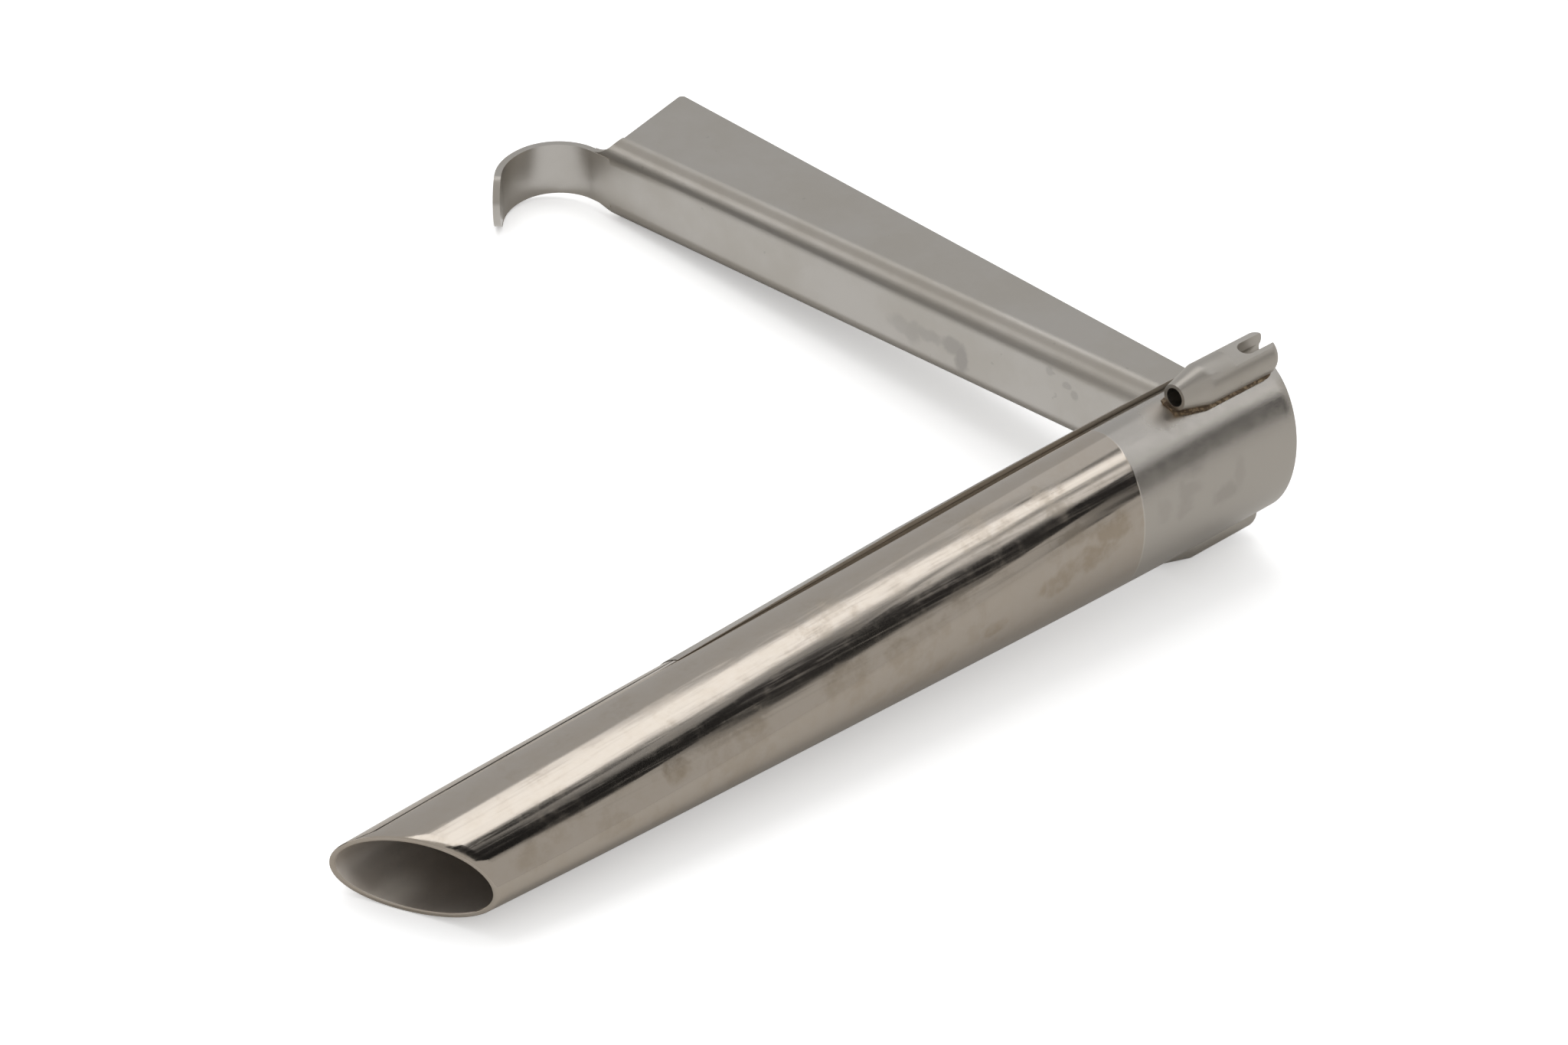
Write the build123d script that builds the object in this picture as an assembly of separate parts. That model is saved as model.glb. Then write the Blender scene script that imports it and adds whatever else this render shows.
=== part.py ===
from build123d import *
import math
import os

# Operating laryngoscope lying on its side.
# Drawing frame: X runs along the tube from the bevelled tip to the wide end, Y points to the handle,
# and Z is square to the plane of symmetry. The finished pieces are then laid down on the table, Z up.

# Tube: half sizes of its oval at four stations, a third of the tube apart
TUBE_LENGTH = 175.0
HALF_DEPTH = (10.3, 11.4, 9.9, 9.1)     # towards and away from the handle
HALF_WIDTH = (6.4, 8.8, 12.7, 14.0)     # to the two sides
TUBE_WALL = 0.8
BEVEL_RUN = 12.4                    # how far the lip on the handle side stands past the heel
BEVEL_BULGE = 0.7                   # how far the bevel's edge bows out of a straight cut
BEVEL_REACH = 1.3                   # the bevel's arc goes on to this many half depths, clear of the tube

# Plate along the handle side of the tube, ground down to a feather at its start
PLATE_LENGTH = 115.0                # from its start to the wide end
PLATE_TAPER = 44.0                  # run over which it comes to its whole thickness
PLATE_FEATHER = 0.12
PLATE_THICKNESS = 0.8
PLATE_EDGE_START = 5.8              # distance of its long edges from the tube's axis, along Y
PLATE_EDGE_END = 4.0

# Handle: a sheet folded into a channel, open at the back
SHEET = 1.2
CHANNEL_WIDTH = 15.2
CHANNEL_BEND = 4.0                  # outer radius of its two folds
CHANNEL_SETBACK = 4.2               # of its open edges, in front of the wide end
CHANNEL_DEPTH = 9.0                 # from the open edges to the web's face, at the height of the tube's axis
WEB_LEAN = 5.3                      # degrees that the web leans towards the tip
HANDLE_REACH = 131.5                # height of the side plates' far corners above the tube's axis
END_CUT_ANGLE = 15.7                # degrees that the plates' ends fall away towards the web
PLATE_CORNER = 0.8                  # rounding of the plates' far corners

# Finger hook: the web's tongue, curled towards the tip
HOOK_WIDTH = 9.5
HOOK_RISE = 4.4                     # from the foot of the notch beside the tongue to where the curl begins
HOOK_ROUND = 4.2                    # inner corner of that notch
CURL_RADIUS = 8.8                   # middle of the sheet
CURL_TURN = 84.0
FLARE_RADIUS = 12.0
FLARE_TURN = 46.0
TONGUE_TIP = 4.5                    # straight run at the end
TIP_CORNER = 4.2

# Light sleeves: turned, bored through, with a milled flat and an open slot. They stand opposite each other
# on the tube's two sides, both turned a little about its axis.
SLEEVE_LENGTH = 20.5
SLEEVE_RADIUS = 3.5
SLEEVE_BORE = 1.55                  # radius
NOSE_RADIUS = 2.15
NOSE_LENGTH = 5.6
SLEEVE_END_ROUND = 1.8
SLEEVE_RISE = 2.3                   # axis above the tube's surface
SLEEVE_TURN = 8.2                   # degrees, the upper one away from the handle
UPPER_SETBACK = 1.1                 # of the upper sleeve's end, in front of the rim of the wide end
LOWER_OVERHANG = 1.7                # of the lower sleeve's end, past that rim
FLAT_HEIGHT = 2.7                   # above the sleeve's axis
FLAT_START = 10.7                   # from the nose
SLOT_WIDTH = 2.8
SLOT_LENGTH = 6.6

# Filler metal
BRAZE_LEG = 0.55
WELD_LEG = 0.8

# Stations that follow from these sizes
PLATE_START = TUBE_LENGTH - PLATE_LENGTH
PLATE_FULL = PLATE_START + PLATE_TAPER
CHANNEL_BACK = TUBE_LENGTH - CHANNEL_SETBACK
WEB_AT_TUBE = CHANNEL_BACK - CHANNEL_DEPTH

# How the forms are drawn
OVAL_POINTS = 16
OVAL_STATIONS = 7
OVERRUN = 3.0                       # how far a form is drawn on past an end that is cut later
FAR = 60.0                          # reach of a cutting block past what it cuts
TOUCH = 0.1                         # an edge this near to its expected place or length is the one looked for
CONTACT_STEPS = 90                  # along each edge that may touch the table
TABLE_ROUNDS = 10                   # of turning the table plane until it touches all three


def along(sizes, x):
    """A size at station x, on the smooth curve through the values given for evenly spaced stations."""
    last = len(sizes) - 1
    t = last * x / TUBE_LENGTH
    return sum(size * math.prod((t - j) / (k - j) for j in range(last + 1) if j != k)
               for k, size in enumerate(sizes))


def oval_point(x, angle, swell=0.0):
    """A point of the tube's outer oval at station x. The swell moves it outwards."""
    y = (along(HALF_DEPTH, x) + swell) * math.cos(angle)
    z = (along(HALF_WIDTH, x) + swell) * math.sin(angle)
    return Vector(x, y, z)


def oval_face(x, swell):
    """The tube's oval at station x, as a face."""
    angles = [2 * math.pi * k / OVAL_POINTS for k in range(OVAL_POINTS)]
    return make_face(Spline([oval_point(x, a, swell) for a in angles], periodic=True))


def oval_solid(start, end, swell=0.0):
    """The tube's tapered form between two stations, swollen by one amount or by a function of x."""
    stations = [start + (end - start) * k / (OVAL_STATIONS - 1) for k in range(OVAL_STATIONS)]
    swell_at = swell if callable(swell) else lambda x: swell
    return loft([oval_face(x, swell_at(x)) for x in stations])


def tube_form():
    """The tube's outer form, drawn on past both ends."""
    return oval_solid(-OVERRUN, TUBE_LENGTH + OVERRUN)


def plate_form():
    """The outer form of the plate where it has its whole thickness, drawn on past the wide end."""
    return oval_solid(PLATE_FULL, TUBE_LENGTH + OVERRUN, PLATE_THICKNESS)


def slab(points, half_height):
    """A prism on an outline in the XY plane, as high above the plane as below it."""
    return extrude(make_face(Polyline(*points, close=True)), half_height, both=True)


def bevel_station(y):
    """Station of the bevelled rim at a height y, by the arc that cuts the tip."""
    top = along(HALF_DEPTH, 0)
    share = (top - y) / (2 * top)
    return BEVEL_RUN * share + 4 * BEVEL_BULGE * share * (1 - share)


def bevel_cutter():
    """Everything in front of the bevelled rim."""
    top = BEVEL_REACH * along(HALF_DEPTH, 0)
    far_lip, near_lip = (bevel_station(top), top), (bevel_station(-top), -top)
    edge = ThreePointArc(far_lip, (bevel_station(0), 0), near_lip)
    front = Polyline(near_lip, (-FAR, -top), (-FAR, top), far_lip)
    return extrude(make_face([edge, front]), FAR, both=True)


def barrel():
    """The tapered speculum tube: one thin shell, open at both ends, with a bevelled lip."""
    past = OVERRUN + TUBE_WALL
    wide_end = Pos(TUBE_LENGTH) * Box(FAR, FAR, FAR, align=(Align.MIN, Align.CENTER, Align.CENTER))
    return tube_form() - oval_solid(-past, TUBE_LENGTH + past, -TUBE_WALL) - bevel_cutter() - wide_end


def plate_swell(x):
    """How far the plate's outer face stands off the tube at station x."""
    share = min(1.0, (x - PLATE_START) / (PLATE_FULL - PLATE_START))
    return PLATE_FEATHER + (PLATE_THICKNESS - PLATE_FEATHER) * share


def spine_plate():
    """The curved plate on the handle side, with square long edges."""
    grown = oval_solid(PLATE_START, PLATE_FULL, plate_swell) + plate_form() - tube_form()
    start, end = (PLATE_START, PLATE_EDGE_START), (TUBE_LENGTH, PLATE_EDGE_END)
    return grown & slab([start, end, (TUBE_LENGTH, FAR), (PLATE_START, FAR)], FAR)


def web_face(y, depth=0.0):
    """Station of the web's face at height y, or of the plane that lies deeper in the channel."""
    lean = math.radians(WEB_LEAN)
    return WEB_AT_TUBE - y * math.tan(lean) + depth / math.cos(lean)


def plate_end(x):
    """Height of the side plates' cut end at station x."""
    return HANDLE_REACH - (CHANNEL_BACK - x) * math.tan(math.radians(END_CUT_ANGLE))


def channel_block(depth, half_width, bend, back, end):
    """The channel's form as a solid block whose two front edges are rounded."""
    outline = [(web_face(0, depth), 0), (back, 0), (back, end), (web_face(end, depth), end)]
    block = slab(outline, half_width)
    front = [e for e in block.edges() if abs(e.center().X - web_face(end / 2, depth)) < TOUCH]
    return fillet([e for e in front if e.length > end / 2], bend)


def fold_station():
    """Station just behind the channel's folds, at the top of the handle."""
    return web_face(HANDLE_REACH) + CHANNEL_BEND


def notch_height():
    """Height at which the folds end beside the tongue."""
    return plate_end(fold_station())


def curl_height():
    """Height at which the tongue begins to curl."""
    return notch_height() + HOOK_RISE


def notch():
    """What is cut off one fold, beside the tongue."""
    foot, side = notch_height(), HOOK_WIDTH / 2
    face = make_face(Polyline((foot, side), (foot + FAR, side), (foot + FAR, FAR), (foot, FAR), close=True))
    inner = face.vertices().sort_by(Axis.X)[:2].sort_by(Axis.Y)[0]
    return extrude(Plane.YZ.offset(fold_station()) * fillet(inner, HOOK_ROUND), -FAR)


def handle_channel():
    """The folded channel, its side plates cut to their ends and its folds notched down to the tongue."""
    half, top, back = CHANNEL_WIDTH / 2, HANDLE_REACH + HOOK_RISE, CHANNEL_BACK + FAR
    channel = channel_block(0, half, CHANNEL_BEND, CHANNEL_BACK, top)
    channel -= channel_block(SHEET, half - SHEET, CHANNEL_BEND - SHEET, back, top + FAR)
    fold, foot = fold_station(), notch_height()
    channel -= slab([(fold, foot), (back, plate_end(back)), (back, top + FAR), (fold, top + FAR)], FAR)
    curl, front = curl_height(), WEB_AT_TUBE - FAR
    channel -= slab([(fold, curl), (fold, top + FAR), (front, top + FAR), (front, curl)], FAR)
    channel -= notch() + mirror(notch(), Plane.XY)
    corners = [e for e in channel.edges() if e.length < CHANNEL_BEND
               and math.hypot(e.center().X - CHANNEL_BACK, e.center().Y - HANDLE_REACH) < TOUCH]
    return fillet(corners, PLATE_CORNER)


def hook_tongue():
    """The web's tongue curled into a finger hook, as one strip swept along arcs."""
    lean = math.radians(WEB_LEAN)
    heading = Vector(-math.sin(lean), math.cos(lean))
    start = Vector(web_face(notch_height(), SHEET / 2), notch_height())
    run = Line(start, start + heading * (HOOK_RISE / math.cos(lean)))
    curl = JernArc(run @ 1, run % 1, CURL_RADIUS, CURL_TURN)
    flare = JernArc(curl @ 1, curl % 1, FLARE_RADIUS, FLARE_TURN)
    tip = Line(flare @ 1, flare @ 1 + (flare % 1) * TONGUE_TIP)
    section = Plane(origin=start, x_dir=(0, 0, 1), z_dir=heading) * Rectangle(HOOK_WIDTH, SHEET)
    tongue = sweep(section, path=Wire([run, curl, flare, tip]))
    corners = tongue.edges().filter_by(lambda e: abs(e.length - SHEET) < TOUCH)
    return fillet(corners.sort_by_distance(tip @ 1)[:2], TIP_CORNER)


def handle():
    """The handle: one folded sheet, cut at its foot to the curve of the plate that it stands on."""
    sheet = handle_channel() + hook_tongue()
    return sheet - plate_form()


def sleeve_axis_point(x):
    """The upper sleeve's axis at station x, off the tube's surface by the rise."""
    turn = math.radians(SLEEVE_TURN)
    surface = 1 / math.hypot(math.sin(turn) / along(HALF_DEPTH, x), math.cos(turn) / along(HALF_WIDTH, x))
    reach = surface + SLEEVE_RISE
    return Vector(x, -reach * math.sin(turn), reach * math.cos(turn))


def sleeve_place(end):
    """Frame of a sleeve that ends at a station: X is its axis, nose to end, and Z points off the tube."""
    nose, back = sleeve_axis_point(end - SLEEVE_LENGTH), sleeve_axis_point(end)
    outward = Vector(0, nose.Y, nose.Z)
    axis = back - nose
    return Plane(origin=nose, x_dir=axis, z_dir=axis.cross(outward).cross(axis))


def sleeve_turning(grow=0.0):
    """The sleeve's turned outside, without its bore, in its own frame."""
    nose, body = NOSE_RADIUS + grow, SLEEVE_RADIUS + grow
    face = make_face(Polyline((-grow, 0), (-grow, nose), (NOSE_LENGTH, body), (SLEEVE_LENGTH, body),
                              (SLEEVE_LENGTH, 0), close=True))
    far_corner = face.vertices().sort_by(Axis.X)[-2:].sort_by(Axis.Y)[-1]
    return revolve(fillet(far_corner, SLEEVE_END_ROUND + grow), Axis.X)


def sleeve(end):
    """A light sleeve that ends at a station, seated on the tube's upper side."""
    turned = sleeve_turning() - Cylinder(SLEEVE_BORE, FAR, rotation=(0, 90, 0))
    flat = Pos(FLAT_START, 0, FLAT_HEIGHT) * Box(FAR, FAR, FAR, align=(Align.MIN, Align.CENTER, Align.MIN))
    slot_end = Pos(SLEEVE_LENGTH - SLOT_LENGTH + SLOT_WIDTH / 2, 0, 0)
    slot = slot_end * Box(FAR, SLOT_WIDTH, FAR, align=(Align.MIN, Align.CENTER, Align.MIN))
    slot += slot_end * Cylinder(SLOT_WIDTH / 2, FAR, align=(Align.CENTER, Align.CENTER, Align.MIN))
    return sleeve_place(end).location * (turned - flat - slot) - tube_form()


def braze(end):
    """The fillet of filler metal round the seat of the sleeve that ends at a station."""
    place = sleeve_place(end).location
    bead = place * sleeve_turning(BRAZE_LEG) & oval_solid(PLATE_FULL, TUBE_LENGTH, BRAZE_LEG)
    return bead - place * sleeve_turning() - tube_form()


def weld():
    """The weld bead round the outside of the handle's foot."""
    half = CHANNEL_WIDTH / 2
    bead = channel_block(-WELD_LEG, half + WELD_LEG, CHANNEL_BEND + WELD_LEG, CHANNEL_BACK, FAR)
    bead -= channel_block(0, half, CHANNEL_BEND, CHANNEL_BACK + SHEET, FAR + SHEET)
    bead &= oval_solid(PLATE_FULL, TUBE_LENGTH, PLATE_THICKNESS + WELD_LEG)
    return bead - plate_form()


def resting_points():
    """Points that may touch the table, for each of the three pieces that the part lies on."""
    angles = [math.pi * (1 + k / CONTACT_STEPS) for k in range(CONTACT_STEPS + 1)]
    rim = [oval_point(bevel_station(oval_point(0, a).Y), a) for a in angles]
    place = sleeve_place(TUBE_LENGTH + LOWER_OVERHANG)
    ring = [Vector(NOSE_LENGTH, SLEEVE_RADIUS * math.cos(a), -SLEEVE_RADIUS * math.sin(a)) for a in angles]
    ring = [place.from_local_coords(p) for p in ring]
    ring = [Vector(p.X, -p.Y, -p.Z) for p in ring]
    plate = [Vector(x, plate_end(x), -CHANNEL_WIDTH / 2) for x in (fold_station(), CHANNEL_BACK)]
    return rim, ring, plate


def table_plane():
    """The plane that touches the tip, the lower sleeve and the handle from below."""
    normal = Vector(0, 0, 1)
    for _ in range(TABLE_ROUNDS):
        tip, sleeve_low, plate = (min(points, key=lambda p: p.dot(normal)) for points in resting_points())
        normal = (sleeve_low - tip).cross(plate - tip).normalized()
        if normal.Z < 0:
            normal = -normal
    along_tube = Vector(1, 0, 0) - normal * normal.X
    return Plane(origin=tip, x_dir=along_tube, z_dir=normal)


def laid_down(pieces):
    """The pieces on the table, with the origin under the middle of the whole part's box."""
    table = table_plane().location.inverse()
    pieces = {name: table * shape for name, shape in pieces.items()}
    box = Compound(children=[s for shape in pieces.values() for s in shape.solids()]).bounding_box()
    shift = Pos(-box.center().X, -box.center().Y, -box.min.Z)
    return {name: shift * shape for name, shape in pieces.items()}


def opposite(shape):
    """The same piece on the other side of the tube, cut clear of the tube and of the plate's edge."""
    return Rot(180, 0, 0) * shape - tube_form() - spine_plate()


def main():
    upper_end, lower_end = TUBE_LENGTH - UPPER_SETBACK, TUBE_LENGTH + LOWER_OVERHANG
    pieces = {
        "barrel": barrel(),
        "spine_plate": spine_plate(),
        "handle": handle(),
        "handle_weld": weld(),
        "light_sleeve_upper": sleeve(upper_end),
        "light_sleeve_lower": opposite(sleeve(lower_end)),
        "braze_upper": braze(upper_end),
        "braze_lower": opposite(braze(lower_end)),
    }
    os.makedirs("parts", exist_ok=True)
    for name, shape in laid_down(pieces).items():
        export_step(Compound(children=shape.solids()), "parts/" + name + ".step")


main()
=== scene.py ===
import math

import bmesh
import bpy
from bpy.props import FloatProperty, FloatVectorProperty, IntProperty, PointerProperty
from mathutils import Euler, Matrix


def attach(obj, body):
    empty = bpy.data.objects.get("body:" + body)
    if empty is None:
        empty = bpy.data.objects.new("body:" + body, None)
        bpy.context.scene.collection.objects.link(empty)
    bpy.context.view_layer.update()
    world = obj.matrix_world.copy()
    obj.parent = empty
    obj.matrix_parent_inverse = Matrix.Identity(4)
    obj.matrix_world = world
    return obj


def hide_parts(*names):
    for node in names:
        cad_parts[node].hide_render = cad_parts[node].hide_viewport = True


bl_info = {
    "name": "Operating laryngoscope",
    "version": (1, 0, 0),
    "blender": (4, 5, 0),
    "location": "View3D > Sidebar > Laryngoscope",
    "description": "Dresses a packed operating laryngoscope and sets its table and light",
    "category": "Object",
}

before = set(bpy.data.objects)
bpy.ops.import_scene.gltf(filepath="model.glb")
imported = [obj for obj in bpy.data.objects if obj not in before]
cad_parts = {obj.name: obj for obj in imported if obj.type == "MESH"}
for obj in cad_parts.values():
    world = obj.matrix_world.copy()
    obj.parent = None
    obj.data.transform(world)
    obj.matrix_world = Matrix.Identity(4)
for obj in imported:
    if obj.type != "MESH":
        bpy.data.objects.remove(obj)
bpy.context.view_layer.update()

BODY = "root"
MM = 0.001
STATIONS = 4

# Place of the tube's own frame: X from the tip along its axis, Y to the handle, Z to the upper sleeve
TUBE_ORIGIN = (-0.088816, -0.064021, 0.005996)
TUBE_TURN = Euler((math.radians(-5.15947), math.radians(-4.81786), 0.0))

# Camera of the photograph
CAMERA_PLACE = (-0.414014, -0.429145, 0.409186)
CAMERA_TURN = Euler((math.radians(55.39511), math.radians(-7.01807), math.radians(-42.44703)))
CAMERA_LENS = 106.281
CAMERA_SENSOR = 36.0
CAMERA_CLIP = (0.01, 20.0)


def overhead(height, *spots):
    """Corners of a level face at one height over the table."""
    return [(x, y, height) for x, y in spots]


def upright(left, right, low, high):
    """Corners of a face that stands on or over a line of the table."""
    return [(*left, low), (*right, low), (*right, high), (*left, high)]


# Stage: colours, and sizes and places in metres
WHITE = (1.0, 1.0, 1.0, 1.0)
MIRRORED_TINT = (1.0, 0.97, 0.93, 1.0)
TABLE_SIZE = 6.0
LAMP_SIZE = (1.17, 0.85)
LAMP_PLACE = (-0.015, 0.475, 1.4)
HIDDEN_FROM = ("camera", "diffuse", "transmission", "volume_scatter", "shadow")

# What the metal mirrors, as the tones of the photograph tell it: brightness and corners of each card,
# the level ones at slightly different heights so that the lower covers the higher
CARDS = {
    "soft_box": (1.68, overhead(
        1.29, (0.30, 0.28), (0.43, 0.28), (0.455, 0.23), (0.47, 0.08), (0.50, -0.02), (0.555, -0.16),
        (0.62, -0.33), (0.75, -0.55), (0.87, -0.70), (1.15, -1.06), (1.257, -1.01), (1.037, -0.74),
        (0.86, -0.48), (0.755, -0.30), (0.655, -0.04), (0.597, 0.20), (0.60, 0.80), (0.655, 1.05),
        (0.71, 1.22), (0.30, 1.22))),
    "far_line": (1.50, overhead(
        1.29, (1.257, -1.01), (1.15, -1.06), (1.40, -1.45), (1.85, -2.10), (2.10, -2.20), (1.75, -1.60),
        (1.45, -1.20))),
    "lamp_line": (1.15, overhead(
        1.29, (0.665, -0.49), (0.80, -0.72), (0.98, -0.96), (1.20, -1.18), (1.55, -1.75), (1.29, -1.50),
        (0.97, -1.09), (0.735, -0.70), (0.665, -0.53))),
    "half_dark": (0.40, overhead(
        1.30, (0.40, 0.10), (0.462, -0.14), (0.50, -0.22), (0.535, -0.26), (0.61, -0.46), (0.66, -0.60),
        (0.70, -0.62), (1.02, -1.16), (1.20, -1.00), (0.87, -0.60), (0.60, -0.10))),
    "dark": (0.02, overhead(
        1.31, (0.20, 0.30), (0.50, 0.30), (1.70, -1.60), (2.40, -2.50), (2.50, -3.40), (1.65, -2.30),
        (1.20, -1.75), (0.87, -1.27), (0.72, -1.00), (0.59, -0.70), (0.545, -0.70), (0.44, -0.52),
        (0.20, -0.45))),
    "dark_wall": (0.03, upright((2.19, -2.82), (2.52, -2.43), 0.28, 1.36)),
    "pale_right": (0.74, overhead(
        1.31, (0.71, 0.90), (0.71, -0.18), (0.86, -0.48), (1.257, -1.01), (3.0, -1.0), (3.0, 0.90))),
    "grey_right": (0.57, overhead(
        1.32, (0.50, 3.20), (0.50, 0.20), (0.66, -0.10), (0.71, -0.18), (3.0, -0.18), (3.50, 3.20))),
    "grey_back": (0.56, [(1.90, 1.05, 0.0), (-0.35, 1.30, 0.0), (-0.35, 1.30, 0.62), (0.62, 1.19, 0.88),
                         (0.90, 1.16, 1.20), (1.90, 1.05, 1.32)]),
    "dark_left": (0.03, upright((-0.35, 1.30), (-1.20, 0.70), 0.0, 0.36)),
    "left_window": (1.55, upright((-0.72, 1.24), (-1.02, 0.98), 0.46, 1.15)),
    "dark_floor": (0.03, overhead(
        0.001, (0.010, -0.01), (0.0, 0.115), (-0.60, 1.20), (-1.16, 0.72), (-0.20, 0.10))),
    "floor_glow": (0.85, overhead(0.001, (0.025, -0.05), (0.068, -0.05), (0.058, 0.07), (0.012, 0.07))),
}

# Barrel: passes that find the bevel's station, mesh rows round each rim, and the share of the wall's
# thickness past which a face belongs to the bore
BEVEL_PASSES = 2
RIM_ROWS = 4
BORE_SHARE = 0.97

# Copies of CAD nodes: points nearer than JOIN are one, edges shorter than SLIVER go, faces flatter
# than FLAT_ANGLE are one, and faces that meet more sharply than EDGE_ANGLE have an edge to round
JOIN = 1e-6
SLIVER = 2e-6
FLAT_ANGLE = math.radians(0.3)
EDGE_ANGLE = math.radians(32)
EDGE_SEGMENTS = 2
PLATE_EDGE_SHARE = 0.5

# Roughness of each clean metal, depth of its surface in mm, and how metallic the dull ones look
POLISHED_ROUGH = 0.075
BLASTED_TUBE_ROUGH = 0.15
BORE_ROUGH = 0.34
SATIN_ROUGH = 0.31
BARREL_RELIEF = 0.06
BORE_RELIEF = 0.004
SATIN_RELIEF = 0.012
BRAZE_RELIEF = 0.08
BORE_METALLIC = 0.8
BRAZE_METALLIC = 0.85

# Painted highlights: the bright line at the ring where the polish ends, the bright line along the plate's
# foot, and the bright spot in the bore
RING_HIGHLIGHT_TINT = (0.85, 0.82, 0.78, 1.0)
SEAM_HIGHLIGHT_TINT = (0.80, 0.75, 0.68, 1.0)
BORE_HIGHLIGHT_TINT = (1.0, 0.95, 0.88, 1.0)

# In mm: half the width over which the polish ends, and where along the tube the painted highlight along the
# plate's foot comes and goes
SATIN_BLUR = 0.12
SEAM_HIGHLIGHT_COMES = (66.0, 100.0)
SEAM_HIGHLIGHT_GOES = 4.0

# Marks of the photograph: centre, half size along each axis, weight; in mm in the tube's own frame.
# Tan and drips on the barrel, heat marks under the sleeves' noses, a painted highlight in the bore, blots on
# the handle.
TAN_MARKS = (
    ((134.1, -9.0, 4.1), (4.5, 3.0, 2.0), 0.50),
    ((128.8, -9.5, 1.3), (5.5, 3.0, 2.0), 0.55),
    ((122.1, -9.7, 0.3), (4.5, 3.0, 1.8), 0.50),
    ((126.3, -8.5, 6.1), (3.5, 3.0, 1.3), 0.30),
    ((108.3, -10.1, -1.3), (2.6, 3.0, 1.3), 0.55),
    ((95.9, -10.3, -2.4), (3.5, 3.0, 1.6), 0.30),
    ((89.4, -10.1, 3.6), (3.5, 3.0, 1.8), 0.35),
    ((78.8, -10.1, 4.0), (5.5, 3.0, 2.0), 0.32),
    ((60.1, -10.1, 4.2), (3.0, 3.0, 1.2), 0.35),
    ((46.0, -10.1, 3.8), (2.3, 3.0, 1.5), 0.50),
    ((33.8, -11.3, 1.3), (2.8, 3.0, 1.4), 0.30),
    ((19.8, -10.3, 2.6), (3.0, 3.0, 1.6), 0.28),
)
DRIP_MARKS = (
    ((152.4, -8.1, 6.4), (2.0, 2.0, 1.6), 0.32),
    ((158.7, -9.1, -0.6), (2.8, 2.0, 1.6), 0.36),
    ((149.7, -9.1, 2.0), (1.6, 2.0, 2.4), 0.30),
    ((151.2, -8.9, 3.4), (2.2, 2.0, 1.2), 0.28),
    ((162.0, -9.0, 1.6), (1.1, 2.0, 3.2), 0.22),
    ((144.9, -9.1, 2.3), (1.8, 2.0, 1.5), 0.18),
    ((166.0, -7.4, 8.1), (0.6, 1.0, 0.6), 0.50),
    ((150.2, -4.0, 12.6), (0.5, 1.0, 0.6), 0.35),
)
HEAT_MARKS = (
    ((151.8, -1.4, 13.8), (3.2, 2.4, 2.4), 0.9),
    ((151.8, -1.4, -13.8), (3.2, 2.4, 2.4), 0.9),
)
# Painted highlight: a bright spot near the lip, where the bore mirrors the lamp
BORE_HIGHLIGHT_MARKS = (((6.6, 4.4, -5.0), (3.6, 2.2, 2.0), 0.9),)
WEB_MARKS = (
    ((156.2, 60.9, -0.7), (0.8, 2.6, 1.6), 0.35),
    ((156.4, 58.2, -1.3), (0.8, 1.6, 2.2), 0.40),
    ((156.7, 54.9, -0.4), (0.8, 3.0, 1.2), 0.45),
    ((157.2, 49.7, -0.3), (0.8, 2.4, 1.4), 0.60),
    ((157.4, 47.6, -2.0), (0.8, 1.4, 2.6), 0.70),
    ((159.1, 29.6, 3.6), (0.8, 0.7, 0.7), 0.40),
    ((159.4, 25.9, 2.3), (0.8, 0.9, 0.7), 0.45),
    ((159.5, 24.5, 1.2), (0.8, 0.8, 0.8), 0.45),
)

# Ends of the plate's two long edges: station and distance from the axis towards the handle
PLATE_EDGES = ((60.0, 5.8), (175.0, 4.0))


class Wiring:
    """Adds nodes to one tree and joins them."""

    def __init__(self, tree):
        self.tree = tree

    def set(self, socket, value):
        """Gives a socket a value, or a link where the value is another node's output."""
        if isinstance(value, bpy.types.NodeSocket):
            self.tree.links.new(value, socket)
        else:
            socket.default_value = value

    def add(self, kind, inputs=(), **settings):
        """A new node with its settings made and its inputs set by name or number."""
        node = self.tree.nodes.new(kind)
        for name, value in settings.items():
            setattr(node, name, value)
        for key, value in dict(inputs).items():
            self.set(node.inputs[key], value)
        return node

    def math(self, operation, *values):
        """One step of arithmetic."""
        return self.add("ShaderNodeMath", enumerate(values), operation=operation).outputs[0]

    def total(self, *values):
        """The sum of several values."""
        result = values[0]
        for value in values[1:]:
            result = self.math("ADD", result, value)
        return result

    def product(self, *values):
        """The product of several values."""
        result = values[0]
        for value in values[1:]:
            result = self.math("MULTIPLY", result, value)
        return result

    def ramp(self, value, low, high, start=0.0, end=1.0):
        """A smooth step of a value between two levels, from a start to an end."""
        node = self.add("ShaderNodeMapRange", {0: value, 1: low, 2: high, 3: start, 4: end})
        node.interpolation_type = "SMOOTHSTEP"
        return node.outputs[0]

    def mix(self, factor, a, b):
        """A blend of two colours."""
        return self.add("ShaderNodeMix", {0: factor, 6: a, 7: b}, data_type="RGBA").outputs[2]


# Barrel, from the rule of its shape


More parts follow.
